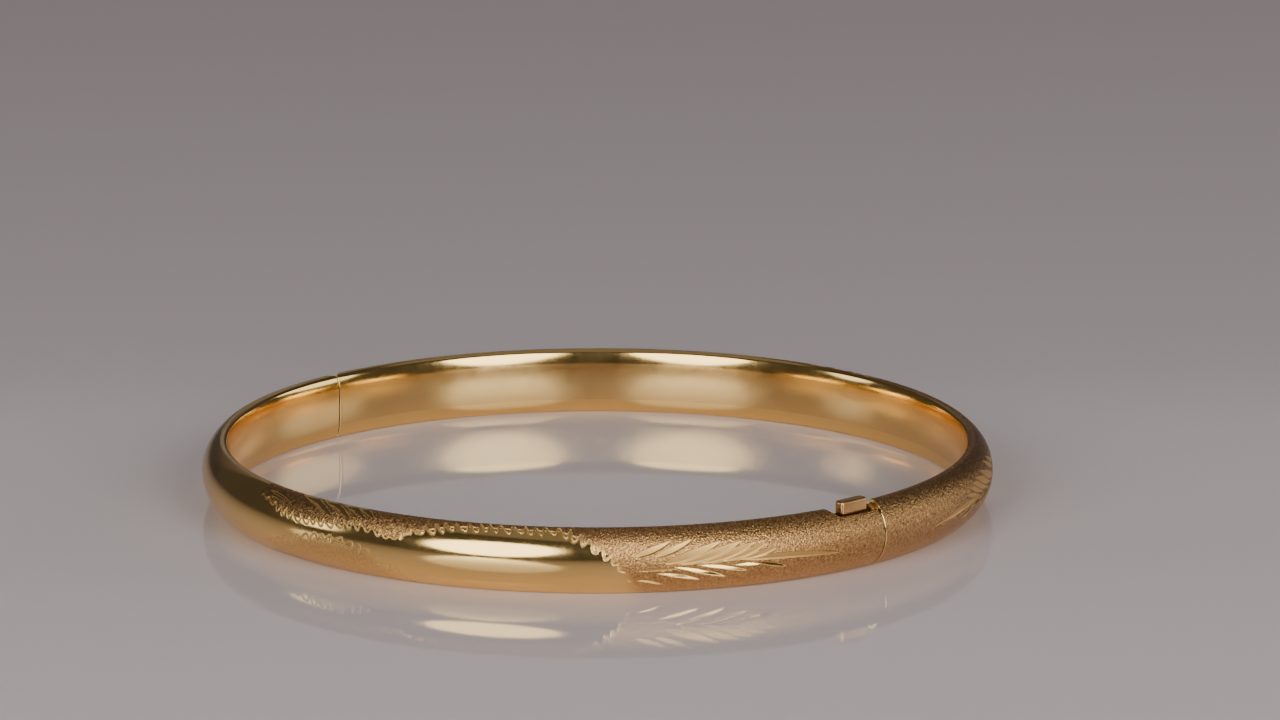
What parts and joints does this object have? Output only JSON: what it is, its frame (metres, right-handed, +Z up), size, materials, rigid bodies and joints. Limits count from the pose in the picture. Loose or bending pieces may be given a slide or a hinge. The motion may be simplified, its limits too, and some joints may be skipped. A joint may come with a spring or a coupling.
{
  "type": "hinged bangle bracelet",
  "caption": "Slim hollow hinged bangle with a flat inner wall, domed outside, pin hinge and tongue clasp with a thumb-piece in the edge.",
  "frame": {"origin": "centre of the ring, on the plane it rests on", "axes": "+Z up along the wrist opening; hinge at -X, clasp at +X; the opening half is on the -Y side"},
  "size_m": [0.0626, 0.0626, 0.0057],
  "materials": {
    "polished_gold": "polished yellow gold",
    "engraved_gold": "polished yellow gold with satin grounds, bright-cut leaves and wriggle borders",
    "lining_gold": "polished yellow gold, fine drawn lines",
    "solder_gold": "plain yellow gold, satin",
    "hinge_gold": "yellow gold, filed",
    "spring_gold": "hard-rolled yellow gold, fine lines",
    "brushed_gold": "yellow gold, file-brushed"
  },
  "bodies": {
    "back_half": {"back_shell": "polished_gold", "back_lining": "lining_gold", "back_hinge_block": "solder_gold", "back_knuckle_lower": "hinge_gold", "back_knuckle_upper": "hinge_gold", "hinge_pin": "hinge_gold", "clasp_plug": "solder_gold", "tongue_base_leaf": "spring_gold"},
    "clasp_leaf": {"tongue_spring_leaf": "spring_gold", "thumb_piece": "brushed_gold"},
    "front_half": {"front_shell": "engraved_gold", "front_lining": "lining_gold", "front_hinge_block": "solder_gold", "front_knuckle": "hinge_gold", "throat_plate": "solder_gold"}
  },
  "joints": [
    {"name": "bangle_hinge", "type": "hinge", "parent": "back_half", "child": "front_half", "pos_m": [-0.03021, 0, 0.0026], "axis": [0, 0, 1], "range_deg": [-70, 0]},
    {"name": "clasp_press", "type": "hinge", "parent": "back_half", "child": "clasp_leaf", "pos_m": [0.0294, -0.00619, 0.00161], "axis": [0.9982, -0.06, 0], "range_deg": [-3.5, 0], "stiffness_Nm_per_rad": 0.02}
  ]
}
